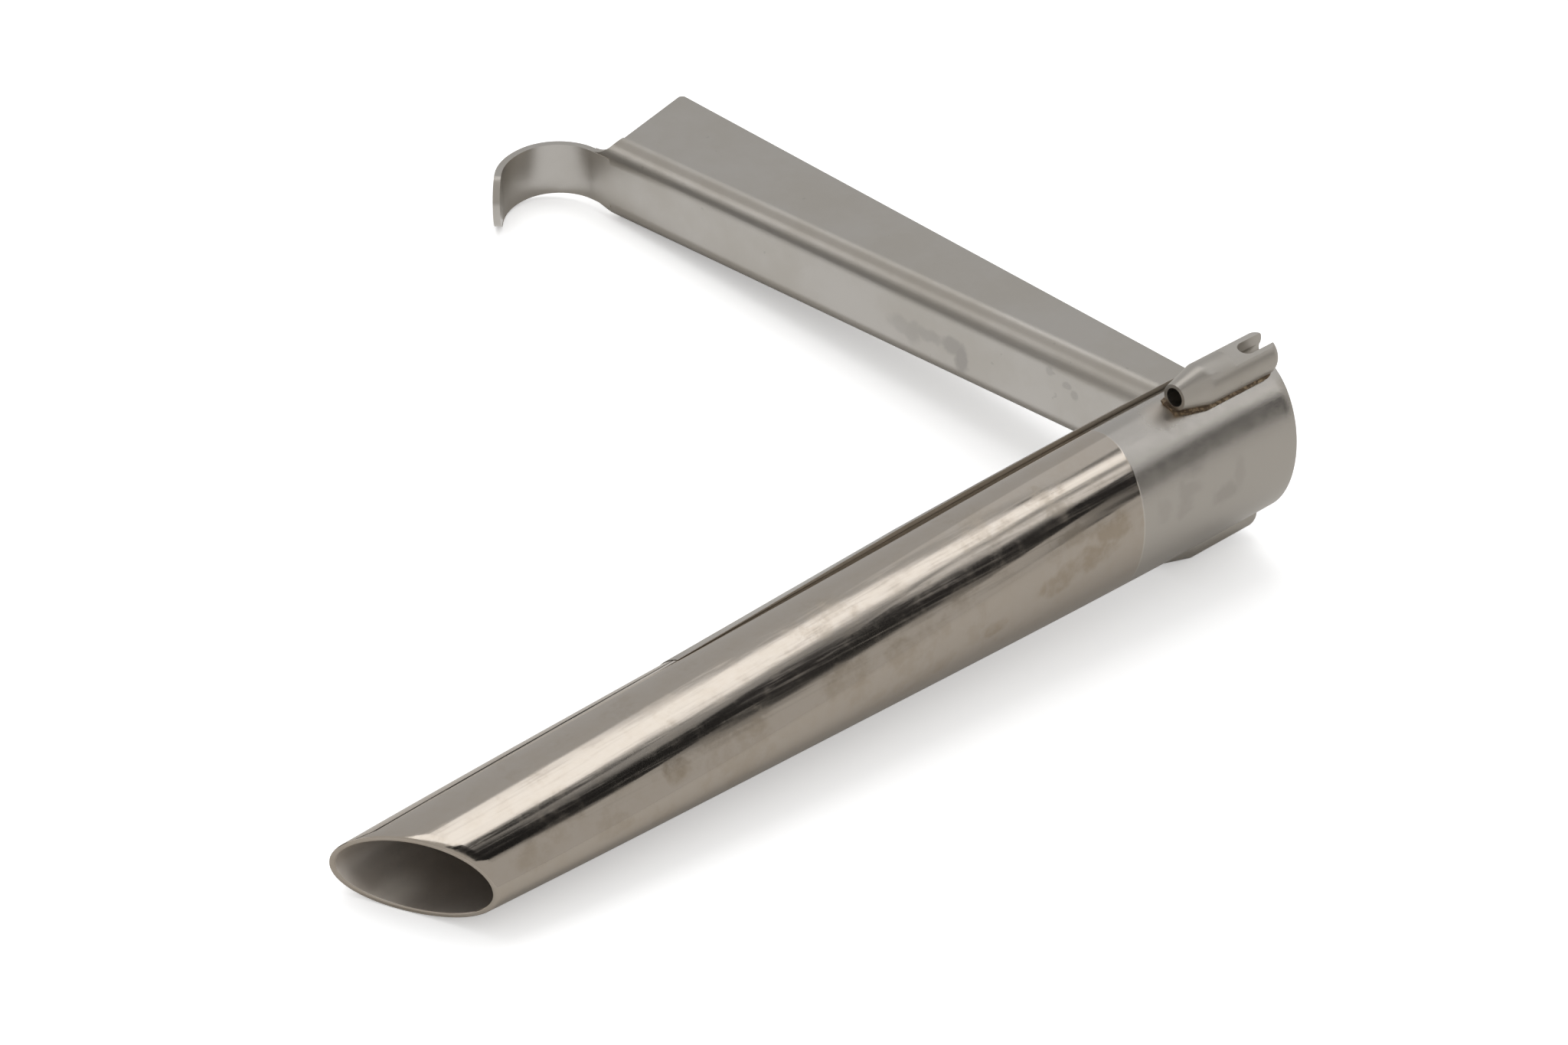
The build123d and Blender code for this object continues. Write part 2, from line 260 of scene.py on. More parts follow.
def size_group():
    """Node group that gives a size at a station, on the smooth curve through four evenly spaced sizes."""
    tree = bpy.data.node_groups.new("Size along the tube", "GeometryNodeTree")
    for name in ["Station", "Length"] + [f"Size {k + 1}" for k in range(STATIONS)]:
        tree.interface.new_socket(name, in_out="INPUT", socket_type="NodeSocketFloat")
    tree.interface.new_socket("Size", in_out="OUTPUT", socket_type="NodeSocketFloat")
    w = Wiring(tree)
    given = w.add("NodeGroupInput").outputs
    share = w.math("MULTIPLY", w.math("DIVIDE", given["Station"], given["Length"]), STATIONS - 1.0)
    away = [w.math("SUBTRACT", share, float(k)) for k in range(STATIONS)]
    parts = []
    for k in range(STATIONS):
        others = [j for j in range(STATIONS) if j != k]
        scale = 1.0 / math.prod(k - j for j in others)
        parts.append(w.product(scale, given[f"Size {k + 1}"], *[away[j] for j in others]))
    w.add("NodeGroupOutput", {"Size": w.total(*parts)})
    return tree


def barrel_tree():
    """Geometry nodes of the tapered tube: its wall's outline carried round an oval that widens by a rule."""
    tree = bpy.data.node_groups.new("Speculum barrel", "GeometryNodeTree")
    face = tree.interface
    face.new_socket("Geometry", in_out="INPUT", socket_type="NodeSocketGeometry")
    sizes = ["Length", "Wall", "Bevel run", "Bevel bulge", "Rim round"]
    sizes += [f"{side} {k + 1}" for side in ("Half depth", "Half width") for k in range(STATIONS)]
    for name in sizes:
        face.new_socket(name, in_out="INPUT", socket_type="NodeSocketFloat")
    for name in ("Points around", "Rows along", "Rim rows"):
        face.new_socket(name, in_out="INPUT", socket_type="NodeSocketInt")
    for name in ("Outer finish", "Bore finish"):
        face.new_socket(name, in_out="INPUT", socket_type="NodeSocketMaterial")
    face.new_socket("Place", in_out="INPUT", socket_type="NodeSocketVector")
    face.new_socket("Turn", in_out="INPUT", socket_type="NodeSocketRotation")
    face.new_socket("Geometry", in_out="OUTPUT", socket_type="NodeSocketGeometry")
    w = Wiring(tree)
    given = w.add("NodeGroupInput").outputs
    curve_size = size_group()

    def half(side, station):
        inputs = {"Station": station, "Length": given["Length"]}
        inputs.update({f"Size {k + 1}": given[f"{side} {k + 1}"] for k in range(STATIONS)})
        group = w.add("GeometryNodeGroup", node_tree=curve_size)
        for key, value in inputs.items():
            w.set(group.inputs[key], value)
        return group.outputs["Size"]

    # The way round, and the outline of the wall with its two rims rounded
    ring = w.add("GeometryNodeCurvePrimitiveCircle", {"Resolution": given["Points around"], "Radius": 1.0})
    around = w.add("GeometryNodeCaptureAttribute", {"Geometry": ring.outputs["Curve"]})
    around.capture_items.new("FLOAT", "Share")
    w.set(around.inputs[1], w.add("GeometryNodeSplineParameter").outputs["Factor"])
    wall = w.add(
        "GeometryNodeCurvePrimitiveQuadrilateral", {"Width": given["Length"], "Height": given["Wall"]})
    rounded = w.add("GeometryNodeFilletCurve", {"Curve": wall.outputs[0]}, mode="POLY")
    w.set(rounded.inputs["Count"], given["Rim rows"])
    w.set(rounded.inputs["Radius"], given["Rim round"])
    here = w.add("GeometryNodeInputPosition").outputs[0]
    index = w.add("GeometryNodeInputIndex").outputs[0]
    after = w.add("GeometryNodeOffsetPointInCurve", {"Point Index": index})
    after.inputs["Offset"].default_value = 1
    there = w.add("GeometryNodeFieldAtIndex", data_type="FLOAT_VECTOR")
    w.set(there.inputs["Index"], after.outputs["Point Index"])
    w.set(there.inputs["Value"], here)
    step = w.add("ShaderNodeVectorMath", {0: there.outputs[0], 1: here}, operation="DISTANCE")
    is_long = w.math("GREATER_THAN", step.outputs["Value"], w.math("MULTIPLY", given["Length"], 0.5))
    rows = w.add("GeometryNodeSubdivideCurve", {"Curve": rounded.outputs[0]})
    w.set(rows.inputs["Cuts"], w.math("MULTIPLY", is_long, given["Rows along"]))
    outline = w.add("GeometryNodeCaptureAttribute", {"Geometry": rows.outputs[0]})
    outline.capture_items.new("VECTOR", "Place")
    w.set(outline.inputs[1], here)
    skin = w.add(
        "GeometryNodeCurveToMesh", {"Curve": around.outputs[0], "Profile Curve": outline.outputs[0]})

    # Each point's angle, depth in the wall and station from the rim
    spot = w.add("ShaderNodeSeparateXYZ", {0: outline.outputs[1]}).outputs
    depth = w.math("SUBTRACT", w.math("MULTIPLY", given["Wall"], 0.5), spot["Y"])
    run = w.math("ADD", spot["X"], w.math("MULTIPLY", given["Length"], 0.5))
    angle = w.math("MULTIPLY", around.outputs[1], math.tau)
    cos, sin = w.math("COSINE", angle), w.math("SINE", angle)

    # The bevelled rim's station, found again from the height it gives
    lip = half("Half depth", 0.0)
    rim = 0.0
    for _ in range(BEVEL_PASSES):
        height = w.math("MULTIPLY", w.math("SUBTRACT", half("Half depth", rim), depth), cos)
        share = w.math("DIVIDE", w.math("SUBTRACT", lip, height), w.math("MULTIPLY", lip, 2.0))
        bow = w.product(share, w.math("SUBTRACT", 1.0, share), 4.0, given["Bevel bulge"])
        rim = w.math("ADD", w.math("MULTIPLY", given["Bevel run"], share), bow)
    left = w.math("SUBTRACT", 1.0, w.math("DIVIDE", run, given["Length"]))
    station = w.math("ADD", run, w.math("MULTIPLY", rim, left))

    reach_y = w.math("MULTIPLY", w.math("SUBTRACT", half("Half depth", station), depth), cos)
    reach_z = w.math("MULTIPLY", w.math("SUBTRACT", half("Half width", station), depth), sin)
    point = w.add("ShaderNodeCombineXYZ", {0: station, 1: reach_y, 2: reach_z})
    shaped = w.add("GeometryNodeSetPosition", {"Geometry": skin.outputs[0]})
    w.set(shaped.inputs["Position"], point.outputs[0])
    smooth = w.add("GeometryNodeSetShadeSmooth", {"Geometry": shaped.outputs[0], "Shade Smooth": True})
    placed = w.add("GeometryNodeTransform", {"Geometry": smooth.outputs[0]})
    w.set(placed.inputs["Translation"], given["Place"])
    w.set(placed.inputs["Rotation"], given["Turn"])
    real = w.add("GeometryNodeRealizeInstances", {"Geometry": placed.outputs[0]})
    outer = w.add("GeometryNodeSetMaterial", {"Geometry": real.outputs[0]})
    w.set(outer.inputs["Material"], given["Outer finish"])
    inner = w.add("GeometryNodeSetMaterial", {"Geometry": outer.outputs[0]})
    w.set(inner.inputs["Material"], given["Bore finish"])
    in_bore = w.math("GREATER_THAN", depth, w.math("MULTIPLY", given["Wall"], BORE_SHARE))
    w.set(inner.inputs["Selection"], in_bore)
    w.add("NodeGroupOutput", {0: inner.outputs[0]})
    return tree


def plain_mesh(carrier, name):
    """The carrier's modifiers turned into a mesh of their own, and the carrier removed."""
    graph = bpy.context.evaluated_depsgraph_get()
    graph.update()
    mesh = bpy.data.meshes.new_from_object(carrier.evaluated_get(graph))
    mesh.name = name
    bpy.data.objects.remove(carrier)
    piece = bpy.data.objects.new(name, mesh)
    bpy.context.scene.collection.objects.link(piece)
    return piece


def from_tree(tree, name, values):
    """A plain mesh piece made by a geometry tree with its named inputs set."""
    carrier = bpy.data.objects.new(name + "_rule", bpy.data.meshes.new(name + "_rule"))
    bpy.context.scene.collection.objects.link(carrier)
    modifier = carrier.modifiers.new("Rule", "NODES")
    modifier.node_group = tree
    for item in tree.interface.items_tree:
        if item.in_out == "INPUT" and item.name in values:
            modifier[item.identifier] = values[item.name]
    return plain_mesh(carrier, name)


# Copies of CAD nodes, joined, with their edges rounded


def joined_copy(node_name, name):
    """A copy of a node whose loose triangles are joined and whose flat faces are whole again."""
    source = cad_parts[node_name]
    mesh = bpy.data.meshes.new(name)
    form = bmesh.new()
    form.from_mesh(source.data)
    bmesh.ops.remove_doubles(form, verts=form.verts, dist=JOIN)
    bmesh.ops.dissolve_degenerate(form, edges=form.edges, dist=SLIVER)
    bmesh.ops.dissolve_limit(form, angle_limit=FLAT_ANGLE, verts=form.verts, edges=form.edges)
    for item in form.faces:
        item.smooth = True
    for edge in form.edges:
        edge.smooth = len(edge.link_faces) == 2 and edge.calc_face_angle(0.0) < EDGE_ANGLE
    form.to_mesh(mesh)
    form.free()
    for layer in ("custom_normal", "UVMap"):
        if layer in mesh.attributes:
            mesh.attributes.remove(mesh.attributes[layer])
    piece = bpy.data.objects.new(name, mesh)
    bpy.context.scene.collection.objects.link(piece)
    return piece


def rounded_copy(node_name, name, width, material):
    """A joined copy with its sharp edges rounded, standing for the node."""
    piece = joined_copy(node_name, name)
    bevel = piece.modifiers.new("Edges", "BEVEL")
    bevel.width = width
    bevel.segments = EDGE_SEGMENTS
    bevel.limit_method = "ANGLE"
    bevel.angle_limit = EDGE_ANGLE
    weighted = piece.modifiers.new("Shading", "WEIGHTED_NORMAL")
    weighted.keep_sharp = True
    piece = plain_mesh(piece, name)
    piece.data.materials.clear()
    piece.data.materials.append(material)
    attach(piece, BODY)
    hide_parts(node_name)
    return piece


# Finishes


def opaque(tint):
    """A colour setting as the four numbers that a colour socket takes."""
    return tint[:] + (1.0,)


class Finish(Wiring):
    """A material in the making: places in millimetres in the tube's own frame, and its metal."""

    def __init__(self, name):
        self.material = bpy.data.materials.new(name)
        self.material.use_nodes = True
        super().__init__(self.material.node_tree)
        self.tree.nodes.clear()
        at = self.add("ShaderNodeTexCoord").outputs["Object"]
        place = self.add("ShaderNodeMapping", {"Vector": at}, vector_type="TEXTURE")
        place.inputs["Location"].default_value = TUBE_ORIGIN
        place.inputs["Rotation"].default_value = TUBE_TURN
        place.inputs["Scale"].default_value = (MM, MM, MM)
        self.place = place.outputs[0]
        axes = self.add("ShaderNodeSeparateXYZ", {0: self.place}).outputs
        self.x, self.y, self.z = axes["X"], axes["Y"], axes["Z"]

    def noise(self, scale, detail=3.0, stretch=(1.0, 1.0, 1.0), shift=0.0, rough=0.5):
        """Noise with features of about 1/scale mm, stretched along the axes."""
        at = self.add("ShaderNodeMapping", {"Vector": self.place})
        at.inputs["Scale"].default_value = stretch
        at.inputs["Location"].default_value = (shift, shift * 0.7, -shift)
        node = self.add("ShaderNodeTexNoise", {"Vector": at.outputs[0], "Scale": scale})
        node.inputs["Detail"].default_value = detail
        node.inputs["Roughness"].default_value = rough
        return node.outputs[0]

    def blots(self, marks, edge=0.35, ragged=1.5):
        """Soft-edged blots of given centre, half size and weight, with ragged outlines."""
        wander = self.math("SUBTRACT", self.noise(0.40, 3.0, rough=0.5, shift=31.0), 0.5)
        wander = self.math("MULTIPLY", wander, ragged)
        found = 0.0
        for centre, size, weight in marks:
            away = self.add("ShaderNodeVectorMath", {0: self.place, 1: centre}, operation="SUBTRACT")
            scaled = self.add("ShaderNodeVectorMath", {0: away.outputs[0], 1: size}, operation="DIVIDE")
            reach = self.add("ShaderNodeVectorMath", {0: scaled.outputs[0]}, operation="LENGTH")
            rough_reach = self.math("ADD", reach.outputs["Value"], wander)
            blot = self.ramp(rough_reach, 1.0 + edge, 1.0 - edge, 0.0, weight)
            found = self.math("MAXIMUM", found, blot)
        return found

    def plate_line(self):
        """How far from the axis the plate's long edges run, at each station."""
        (start, low), (end, high) = PLATE_EDGES
        slope = (high - low) / (end - start)
        return self.math("MULTIPLY_ADD", self.x, slope, low - slope * start)

    def bump(self, height, distance):
        """A normal from a height between 0 and 1, with its full height in millimetres."""
        node = self.add("ShaderNodeBump", {"Height": height, "Distance": distance * MM, "Strength": 1.0})
        return node.outputs[0]

    def metal(self, colour, roughness, normal, metallic=1.0):
        """The shader of a metal with this colour, roughness and surface."""
        shader = self.add("ShaderNodeBsdfPrincipled", {"Base Color": colour, "Metallic": metallic})
        self.set(shader.inputs["Roughness"], roughness)
        self.set(shader.inputs["Normal"], normal)
        self.add("ShaderNodeOutputMaterial", {"Surface": shader.outputs[0]})
        return self.material


def polished_finish(tints):
    """Polished steel of the barrel, blasted past the ring, with dried and heated marks, fine scratches, and
    painted highlights at the ring and along the plate's foot.
    """
    f = Finish("polished_steel_worn")
    ring_at = tints.satin_start / MM
    satin = f.ramp(f.x, ring_at - SATIN_BLUR, ring_at + SATIN_BLUR)
    streaks = f.noise(1.0, 4.0, stretch=(0.03, 2.4, 2.4))
    haze = f.noise(0.35, 5.0, rough=0.65, shift=3.0)
    clouds = f.noise(0.10, 5.0, rough=0.6, shift=7.0)

    # Where the tan film, the grey drips, the heat marks, the painted highlight at the ring and the painted
    # highlight along the plate's foot lie
    film = f.math("MULTIPLY", f.ramp(clouds, 0.53, 0.62, 0.0, 0.16), f.ramp(haze, 0.35, 0.6))
    dried = f.math("MULTIPLY", f.blots(TAN_MARKS), f.ramp(haze, 0.30, 0.62, 0.35, 1.0))
    tan = f.math("MULTIPLY", f.math("MAXIMUM", film, dried), f.math("SUBTRACT", 1.0, satin))
    drips = f.math("MULTIPLY", f.blots(DRIP_MARKS, edge=0.6, ragged=2.6), satin)
    heat = f.blots(HEAT_MARKS, edge=0.95, ragged=0.6)
    # Painted highlight: a thin bright line where the polish ends, on the lower side only
    ring = f.math("MULTIPLY", f.ramp(f.x, ring_at - 0.3, ring_at), f.ramp(f.x, ring_at + 0.25, ring_at))
    ring = f.math("MULTIPLY", ring, f.ramp(f.y, -5.0, -8.0, 0.08, 0.3))
    # Painted highlight: a thin bright line along the plate's foot, also a little rougher
    seam_highlight = f.ramp(f.math("SUBTRACT", f.y, f.plate_line()), -0.42, -0.25, 0.0, 0.7)
    seam_highlight = f.product(seam_highlight, f.ramp(f.x, *SEAM_HIGHLIGHT_COMES), f.ramp(f.x, ring_at, ring_at - SEAM_HIGHLIGHT_GOES))

    colour = f.mix(f.ramp(haze, 0.35, 0.75, 0.0, 0.4), opaque(tints.steel), opaque(tints.steel_warm))
    colour = f.mix(satin, colour, opaque(tints.satin))
    colour = f.mix(tan, colour, opaque(tints.stain))
    colour = f.mix(drips, colour, opaque(tints.drip))
    # Painted highlights at the ring and along the plate's foot
    colour = f.mix(ring, colour, RING_HIGHLIGHT_TINT)
    colour = f.mix(seam_highlight, colour, SEAM_HIGHLIGHT_TINT)
    colour = f.mix(f.math("MULTIPLY", heat, 0.6), colour, opaque(tints.heat))

    bright = f.total(
        POLISHED_ROUGH, f.math("MULTIPLY", seam_highlight, 0.15), f.ramp(streaks, 0.45, 0.72, 0.0, 0.06),
        f.math("MULTIPLY", tan, 0.16), f.ramp(haze, 0.5, 0.75, 0.0, 0.04))
    matt = f.total(
        BLASTED_TUBE_ROUGH, f.ramp(haze, 0.3, 0.7, 0.0, 0.05), f.math("MULTIPLY", drips, 0.08),
        f.math("MULTIPLY", heat, 0.40))
    rough = f.add("ShaderNodeMix", {0: satin, 2: bright, 3: matt}, data_type="FLOAT").outputs[0]

    grain = f.math("MULTIPLY", f.noise(9.0, 2.0), satin)
    waves = f.noise(0.16, 2.0, stretch=(0.25, 1.0, 1.0), shift=11.0)
    drawn = f.noise(1.0, 2.0, stretch=(0.012, 0.9, 0.9), shift=17.0)
    surface = f.total(
        f.math("MULTIPLY", grain, 0.16), f.math("MULTIPLY", waves, 0.4),
        f.math("MULTIPLY", streaks, 0.03), f.math("MULTIPLY", drawn, 0.06))
    return f.metal(colour, rough, f.bump(surface, BARREL_RELIEF))


def bore_finish(tints):
    """The barrel's inside: dull steel with faint draw marks and a painted highlight near the lip."""
    f = Finish("polished_steel_bore")
    marks = f.noise(1.0, 3.0, stretch=(0.03, 0.9, 0.9), shift=5.0)
    haze = f.noise(0.12, 4.0, shift=2.0)
    colour = f.mix(f.ramp(haze, 0.3, 0.75, 0.0, 0.4), opaque(tints.bore), opaque(tints.steel_warm))
    # Painted highlight: the bright spot near the lip
    colour = f.mix(f.blots(BORE_HIGHLIGHT_MARKS, edge=0.9, ragged=0.4), colour, BORE_HIGHLIGHT_TINT)
    rough = f.math("ADD", BORE_ROUGH, f.ramp(marks, 0.35, 0.7, 0.0, 0.08))
    return f.metal(colour, rough, f.bump(marks, BORE_RELIEF), metallic=BORE_METALLIC)


def satin_finish(tints, name="satin_steel_blasted", cut_edge_and_shade=False):
    """Blasted steel of the handle, weld, plate and sleeves, with faint clouds and the handle's blots, and on
    the plate a cut edge darkened partly by painted shade.
    """
    f = Finish(name)
    grain = f.noise(8.0, 2.0)
    clouds = f.noise(0.07, 5.0, rough=0.6, shift=4.0)
    specks = f.ramp(f.noise(0.55, 2.0, shift=15.0), 0.735, 0.77)
    colour = f.mix(f.ramp(clouds, 0.35, 0.68), opaque(tints.satin), opaque(tints.satin_warm))
    colour = f.mix(f.math("MULTIPLY", specks, 0.3), colour, opaque(tints.drip))
    colour = f.mix(f.blots(WEB_MARKS), colour, opaque(tints.drip))
    rough = f.total(SATIN_ROUGH, f.ramp(clouds, 0.3, 0.7, 0.0, 0.05), f.math("MULTIPLY", specks, 0.05))
    if cut_edge_and_shade:
        # Darker along the plate's long cut edge: partly a duller cut edge, partly painted shade
        dull_edge_and_shade = f.ramp(f.math("SUBTRACT", f.y, f.plate_line()), 0.16, 0.04, 0.0, 0.9)
        colour = f.mix(dull_edge_and_shade, colour, opaque(tints.cut_edge_and_shade))
        rough = f.math("ADD", rough, f.math("MULTIPLY", dull_edge_and_shade, 0.15))
    return f.metal(colour, rough, f.bump(grain, SATIN_RELIEF))


def plate_finish(tints):
    """The blasted steel with the plate's duller cut edge, darkened partly by painted shade."""
    return satin_finish(tints, "satin_steel_plate", cut_edge_and_shade=True)


def braze_finish(tints):
    """Filler metal: tan where it is thin, darker and browner in its pools."""
    f = Finish("braze_flowed")
    pools = f.noise(1.3, 4.0, rough=0.6)
    colour = f.mix(f.ramp(pools, 0.34, 0.55), opaque(tints.braze), opaque(tints.braze_dark))
    rough = f.ramp(pools, 0.3, 0.7, 0.32, 0.5)
    lumps = f.noise(2.2, 3.0, shift=8.0)
    return f.metal(colour, rough, f.bump(lumps, BRAZE_RELIEF), metallic=BRAZE_METALLIC)


class BarrelSizes(bpy.types.PropertyGroup):
    """Sizes of the barrel, as the solid model has them."""

    length: FloatProperty(
        name="Length", description="From the lip to the wide end", default=175.0 * MM, subtype="DISTANCE")
    half_depth: FloatVectorProperty(
        name="Half depths", description="Towards the handle, at four stations", size=STATIONS,
        default=(10.3 * MM, 11.4 * MM, 9.9 * MM, 9.1 * MM), subtype="NONE")
    half_width: FloatVectorProperty(
        name="Half widths", description="To the two sides, at four stations", size=STATIONS,
        default=(6.4 * MM, 8.8 * MM, 12.7 * MM, 14.0 * MM), subtype="NONE")
    wall: FloatProperty(
        name="Wall", description="Thickness of the sheet", default=0.8 * MM, subtype="DISTANCE")
    bevel_run: FloatProperty(
        name="Bevel run", description="How far the lip stands past the heel", default=12.4 * MM,
        subtype="DISTANCE")
    bevel_bulge: FloatProperty(
        name="Bevel bulge", description="How far the bevel bows out", default=0.7 * MM, subtype="DISTANCE")
    rim_round: FloatProperty(
        name="Rim round", description="Rounding of both rims", default=0.3 * MM, subtype="DISTANCE")
    points_around: IntProperty(
        name="Points around", description="Mesh points round the oval", default=160, min=32)
    rows_along: IntProperty(
        name="Rows along", description="Mesh rows along the tube", default=90, min=16)


class EdgeSizes(bpy.types.PropertyGroup):
    """Rounding of the edges that light catches."""

    sheet: FloatProperty(
        name="Sheet edges", description="Handle, and half as much on the plate", default=0.16 * MM,
        subtype="DISTANCE")
    turned: FloatProperty(
        name="Sleeve edges", description="Light sleeves", default=0.1 * MM, subtype="DISTANCE")


def colour_property(name, description, value):
    """A colour setting."""
    return FloatVectorProperty(
        name=name, description=description, default=value, size=3, min=0.0, max=1.0, subtype="COLOR")


class Tints(bpy.types.PropertyGroup):
    """Colours of the metals and their stains, with the painted shade on the plate's cut edge."""

    steel: colour_property("Polished steel", "Clean polished metal", (0.505, 0.458, 0.405))
    steel_warm: colour_property("Handled steel", "Polished metal under a thin film", (0.475, 0.415, 0.345))
    bore: colour_property("Bore", "Inside of the barrel", (0.62, 0.575, 0.53))
    satin: colour_property("Satin steel", "Blasted metal", (0.51, 0.485, 0.45))
    satin_warm: colour_property("Satin steel, warm", "Blasted metal where hands go", (0.48, 0.452, 0.41))
    stain: colour_property("Stain", "Dried tan marks", (0.33, 0.265, 0.185))
    drip: colour_property("Drips", "Grey blots", (0.33, 0.31, 0.29))
    heat: colour_property("Heat tint", "Tube beside the brazed sleeves", (0.58, 0.52, 0.455))
    # Cut edge: partly the duller cut edge's own colour, partly painted shade
    cut_edge_and_shade: colour_property("Cut edge", "Long edges of the plate", (0.46, 0.415, 0.36))
    braze: colour_property("Braze", "Filler metal at its edge", (0.42, 0.32, 0.21))
    braze_dark: colour_property("Braze, dark", "Filler metal in its hollow", (0.15, 0.11, 0.075))
    satin_start: FloatProperty(
        name="Satin start", description="Station where the polish ends", default=140.7 * MM,
        subtype="DISTANCE")


class StageSettings(bpy.types.PropertyGroup):
    """Table, light and background."""

    floor_colour: colour_property("Floor", "Pale table top, as the metal mirrors it", (0.66, 0.64, 0.61))
    floor_lift: FloatProperty(
        name="Floor lift", description="What the camera adds to the table top to see it white",
        default=0.32, min=0.0)
    lamp_power: FloatProperty(
        name="Lamp power", description="Soft overhead lamp", default=5.4, unit="POWER")
    ambient: FloatProperty(
        name="Room light", description="Even light from all round", default=0.78, min=0.0)
    mirrored: FloatProperty(
        name="Mirrored room", description="Brightness of the room where the metal mirrors it",
        default=0.58, min=0.0)


def material(name, maker):
    """A finish that is made once and then shared."""
    return bpy.data.materials.get(name) or maker(bpy.context.scene.laryngoscope_tints)


class MakeBarrel(bpy.types.Operator):
    """Make the barrel from its rule and put it in the place of its node"""

    bl_idname = "laryngoscope.make_barrel"
    bl_label = "Make barrel"

    def execute(self, context):
        sizes = context.scene.laryngoscope_barrel
        values = {
            "Length": sizes.length, "Wall": sizes.wall, "Bevel run": sizes.bevel_run,
            "Bevel bulge": sizes.bevel_bulge, "Rim round": sizes.rim_round,
            "Points around": sizes.points_around, "Rows along": sizes.rows_along, "Rim rows": RIM_ROWS,
            "Outer finish": material("polished_steel_worn", polished_finish),
            "Bore finish": material("polished_steel_bore", bore_finish),
            "Place": TUBE_ORIGIN, "Turn": tuple(TUBE_TURN),
        }
        for k in range(STATIONS):
            values[f"Half depth {k + 1}"] = sizes.half_depth[k]
            values[f"Half width {k + 1}"] = sizes.half_width[k]
        piece = from_tree(barrel_tree(), "speculum_barrel", values)
        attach(piece, BODY)
        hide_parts("barrel")
        return {"FINISHED"}


class DressSheet(bpy.types.Operator):
    """Round the handle's and the plate's edges and give them their satin finish"""

    bl_idname = "laryngoscope.dress_sheet"
    bl_label = "Dress handle and plate"

    def execute(self, context):
        width = context.scene.laryngoscope_edges.sheet
        satin = material("satin_steel_blasted", satin_finish)
        plate = material("satin_steel_plate", plate_finish)
        rounded_copy("handle", "folded_handle", width, satin)
        rounded_copy("spine_plate", "curved_plate", width * PLATE_EDGE_SHARE, plate)
        return {"FINISHED"}


class DressSleeves(bpy.types.Operator):
    """Round the light sleeves' edges and give them their satin finish"""

    bl_idname = "laryngoscope.dress_sleeves"
    bl_label = "Dress light sleeves"

    def execute(self, context):
        width = context.scene.laryngoscope_edges.turned
        satin = material("satin_steel_blasted", satin_finish)
        for side in ("upper", "lower"):
            rounded_copy("light_sleeve_" + side, "carrier_sleeve_" + side, width, satin)
        return {"FINISHED"}


class DressFiller(bpy.types.Operator):
    """Give the braze fillets and the weld bead their finish"""

    bl_idname = "laryngoscope.dress_filler"
    bl_label = "Dress braze and weld"

    def execute(self, context):
        braze = material("braze_flowed", braze_finish)
        satin = material("satin_steel_blasted", satin_finish)
        for name, finish in (("braze_upper", braze), ("braze_lower", braze), ("handle_weld", satin)):
            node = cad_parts[name]
            node.data.materials.clear()
            node.data.materials.append(finish)
        return {"FINISHED"}


def bare_tree(holder):
    """The emptied node tree of a material or world, ready for wiring."""
    holder.use_nodes = True
    holder.node_tree.nodes.clear()
    return Wiring(holder.node_tree)


def flat_piece(name, corners, finish):
    """One flat face of any outline, for the stage."""
    mesh = bpy.data.meshes.new(name)
    mesh.from_pydata(corners, [], [range(len(corners))])
    mesh.materials.append(finish)
    piece = bpy.data.objects.new(name, mesh)
    bpy.context.scene.collection.objects.link(piece)
    return piece


def card(name, corners, strength):
    """A card that only mirrored rays see, to shade the metal as the room of the photograph does."""
    finish = bpy.data.materials.new(name)
    w = bare_tree(finish)
    glow = w.add("ShaderNodeEmission", {"Color": WHITE, "Strength": strength})
    w.add("ShaderNodeOutputMaterial", {"Surface": glow.outputs[0]})
    piece = flat_piece(name, corners, finish)
    for ray in HIDDEN_FROM:
        setattr(piece, "visible_" + ray, False)


def set_table(settings):
    """The pale table top, which reaches full white for the camera alone."""
    finish = bpy.data.materials.new("table_top")
    w = bare_tree(finish)
    glow = w.add("ShaderNodeEmission", {"Color": WHITE})
    seen = w.add("ShaderNodeLightPath").outputs["Is Camera Ray"]
    matt = w.add("ShaderNodeBsdfDiffuse", {"Color": w.mix(seen, opaque(settings.floor_colour), WHITE)})
    w.set(glow.inputs["Strength"], w.math("MULTIPLY", seen, settings.floor_lift))
    both = w.add("ShaderNodeAddShader", {0: matt.outputs[0], 1: glow.outputs[0]})
    w.add("ShaderNodeOutputMaterial", {"Surface": both.outputs[0]})
    half = TABLE_SIZE / 2
    corners = overhead(0.0, (-half, -half), (half, -half), (half, half), (-half, half))
    flat_piece("table_top", corners, finish)


def set_room(settings):
    """The soft lamp overhead and the even light of the room, which the camera sees as white."""
    light = bpy.data.lights.new("overhead", "AREA")
    light.shape = "RECTANGLE"
    light.size, light.size_y = LAMP_SIZE
    light.energy = settings.lamp_power
    lamp = bpy.data.objects.new("overhead", light)
    lamp.location = LAMP_PLACE
    lamp.visible_glossy = False
    bpy.context.scene.collection.objects.link(lamp)
    world = bpy.data.worlds.new("room")
    w = bare_tree(world)
    path = w.add("ShaderNodeLightPath").outputs
    levels = {0: path["Is Glossy Ray"], 2: settings.ambient, 3: settings.mirrored}
    even = w.add("ShaderNodeMix", levels, data_type="FLOAT")
    seen = w.math("MAXIMUM", even.outputs[0], path["Is Camera Ray"])
    tint = w.mix(path["Is Glossy Ray"], WHITE, MIRRORED_TINT)
    room = w.add("ShaderNodeBackground", {"Color": tint, "Strength": seen})
    w.add("ShaderNodeOutputWorld", {"Surface": room.outputs[0]})
    bpy.context.scene.world = world


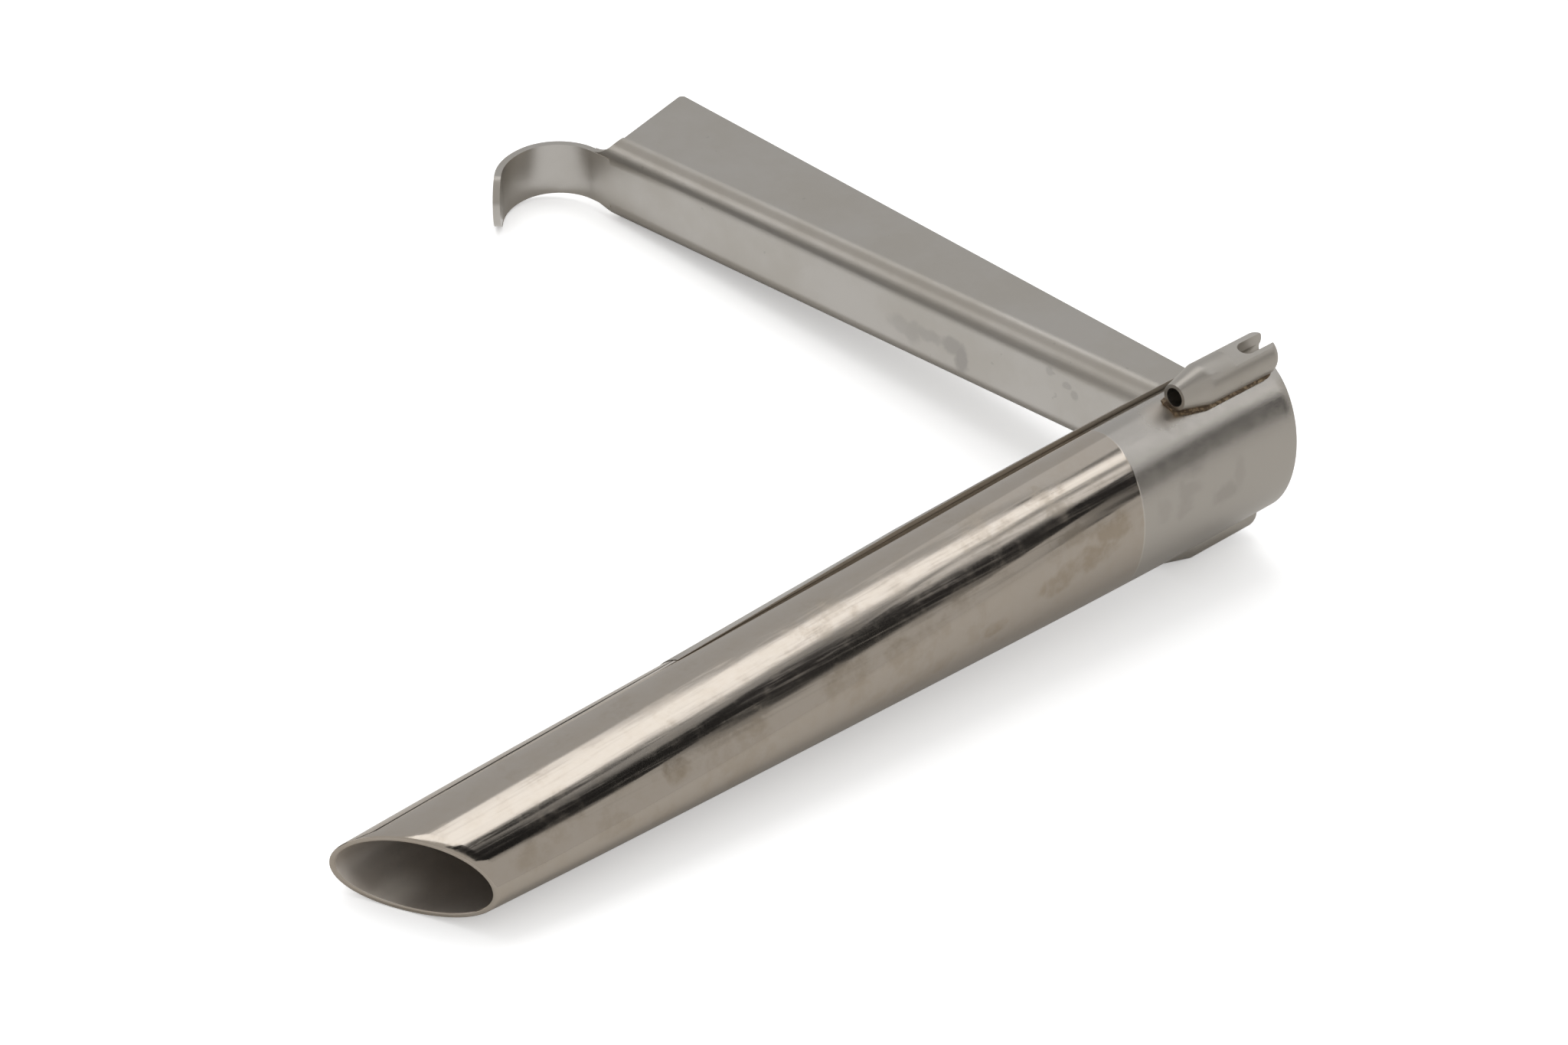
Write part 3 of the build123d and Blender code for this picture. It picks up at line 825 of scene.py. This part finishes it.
def set_camera():
    """The camera of the photograph."""
    camera = bpy.data.cameras.new("photograph")
    camera.lens = CAMERA_LENS
    camera.sensor_width = CAMERA_SENSOR
    camera.sensor_fit = "HORIZONTAL"
    camera.clip_start, camera.clip_end = CAMERA_CLIP
    eye = bpy.data.objects.new("photograph", camera)
    eye.location = CAMERA_PLACE
    eye.rotation_euler = CAMERA_TURN
    bpy.context.scene.collection.objects.link(eye)
    bpy.context.scene.camera = eye


class SetStage(bpy.types.Operator):
    """Set the table, the lamp, the room, its cards and the camera"""

    bl_idname = "laryngoscope.set_stage"
    bl_label = "Set stage"

    def execute(self, context):
        settings = context.scene.laryngoscope_stage
        set_table(settings)
        set_room(settings)
        set_camera()
        for name, (strength, corners) in CARDS.items():
            card(name, corners, strength)
        context.scene.view_settings.view_transform = "Standard"
        return {"FINISHED"}


class LaryngoscopePanel(bpy.types.Panel):
    """Settings and steps of the operating laryngoscope"""

    bl_idname = "VIEW3D_PT_laryngoscope"
    bl_label = "Operating laryngoscope"
    bl_space_type = "VIEW_3D"
    bl_region_type = "UI"
    bl_category = "Laryngoscope"

    def draw(self, context):
        for group in GROUPS:
            box = self.layout.box()
            settings = getattr(context.scene, group)
            for name in settings.__annotations__:
                box.prop(settings, name)
        for step in STEPS:
            self.layout.operator(step.bl_idname)


GROUPS = {
    "laryngoscope_barrel": BarrelSizes,
    "laryngoscope_edges": EdgeSizes,
    "laryngoscope_tints": Tints,
    "laryngoscope_stage": StageSettings,
}
STEPS = (MakeBarrel, DressSheet, DressSleeves, DressFiller, SetStage)


def register():
    for kind in (*GROUPS.values(), *STEPS, LaryngoscopePanel):
        bpy.utils.register_class(kind)
    for name, kind in GROUPS.items():
        setattr(bpy.types.Scene, name, PointerProperty(type=kind))


def unregister():
    for name in GROUPS:
        delattr(bpy.types.Scene, name)
    for kind in reversed((*GROUPS.values(), *STEPS, LaryngoscopePanel)):
        bpy.utils.unregister_class(kind)


def main():
    register()
    for step in STEPS:
        category, name = step.bl_idname.split(".")
        getattr(getattr(bpy.ops, category), name)()


if __name__ == "__main__":
    main()
